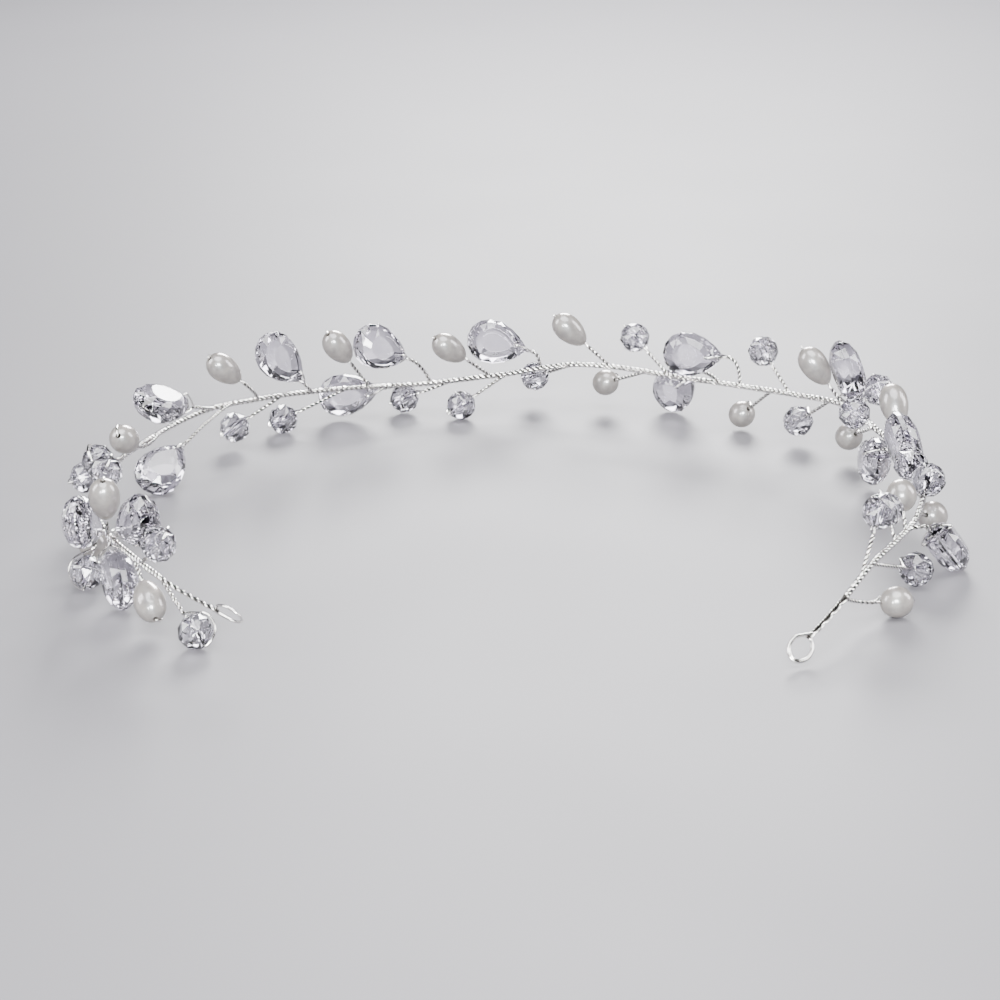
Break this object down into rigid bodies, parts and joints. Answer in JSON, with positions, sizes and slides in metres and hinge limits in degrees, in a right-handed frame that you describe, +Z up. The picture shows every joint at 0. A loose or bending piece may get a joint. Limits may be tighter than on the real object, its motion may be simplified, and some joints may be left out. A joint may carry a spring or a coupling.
{
  "type": "hair vine headband of twisted wire with crystals and pearls",
  "caption": "Open headband of twisted silver wire, bent to a head's curve, with faceted glass beads, flat glass drops and pearls on short twisted sprigs and a wire eye at each end.",
  "frame": {"origin": "under the middle of the whole band, on the table it lies on", "axes": "+X to the right and +Y to the back of the ring as the picture shows it, with the open ends towards -Y; +Z up from the table"},
  "size_m": [0.1574, 0.1368, 0.0246],
  "materials": {
    "silver_wire": "bright silver-plated wire",
    "glass_crystal": "clear faceted glass, faintly violet",
    "glass_drop": "clear faceted glass, faintly violet",
    "pearl": "cream nacre",
    "rice_pearl": "cream nacre"
  },
  "bodies": {
    "root": {"wire": "silver_wire", "pearl_01": "pearl", "crystal_02": "glass_crystal", "crystal_03": "glass_crystal", "crystal_04": "glass_crystal", "pearl_05": "pearl", "drop_06": "glass_drop", "crystal_07": "glass_crystal", "pearl_08": "pearl", "crystal_09": "glass_crystal", "drop_10": "glass_drop", "rice_pearl_11": "rice_pearl", "drop_12": "glass_drop", "crystal_13": "glass_crystal", "crystal_14": "glass_crystal", "drop_15": "glass_drop", "pearl_16": "pearl", "rice_pearl_17": "rice_pearl", "crystal_18": "glass_crystal", "crystal_19": "glass_crystal", "pearl_20": "pearl", "drop_21": "glass_drop", "drop_22": "glass_drop", "crystal_23": "glass_crystal", "pearl_24": "pearl", "rice_pearl_25": "rice_pearl", "crystal_26": "glass_crystal", "drop_27": "glass_drop", "crystal_28": "glass_crystal", "rice_pearl_29": "rice_pearl", "crystal_30": "glass_crystal", "drop_31": "glass_drop", "drop_32": "glass_drop", "rice_pearl_33": "rice_pearl", "crystal_34": "glass_crystal", "crystal_35": "glass_crystal", "drop_36": "glass_drop", "rice_pearl_37": "rice_pearl", "drop_38": "glass_drop", "drop_39": "glass_drop", "rice_pearl_40": "rice_pearl", "crystal_41": "glass_crystal", "crystal_42": "glass_crystal", "crystal_43": "glass_crystal", "pearl_44": "pearl", "crystal_45": "glass_crystal", "drop_46": "glass_drop", "rice_pearl_47": "rice_pearl", "drop_48": "glass_drop", "drop_49": "glass_drop", "rice_pearl_50": "rice_pearl", "crystal_51": "glass_crystal", "crystal_52": "glass_crystal"}
  },
  "joints": []
}
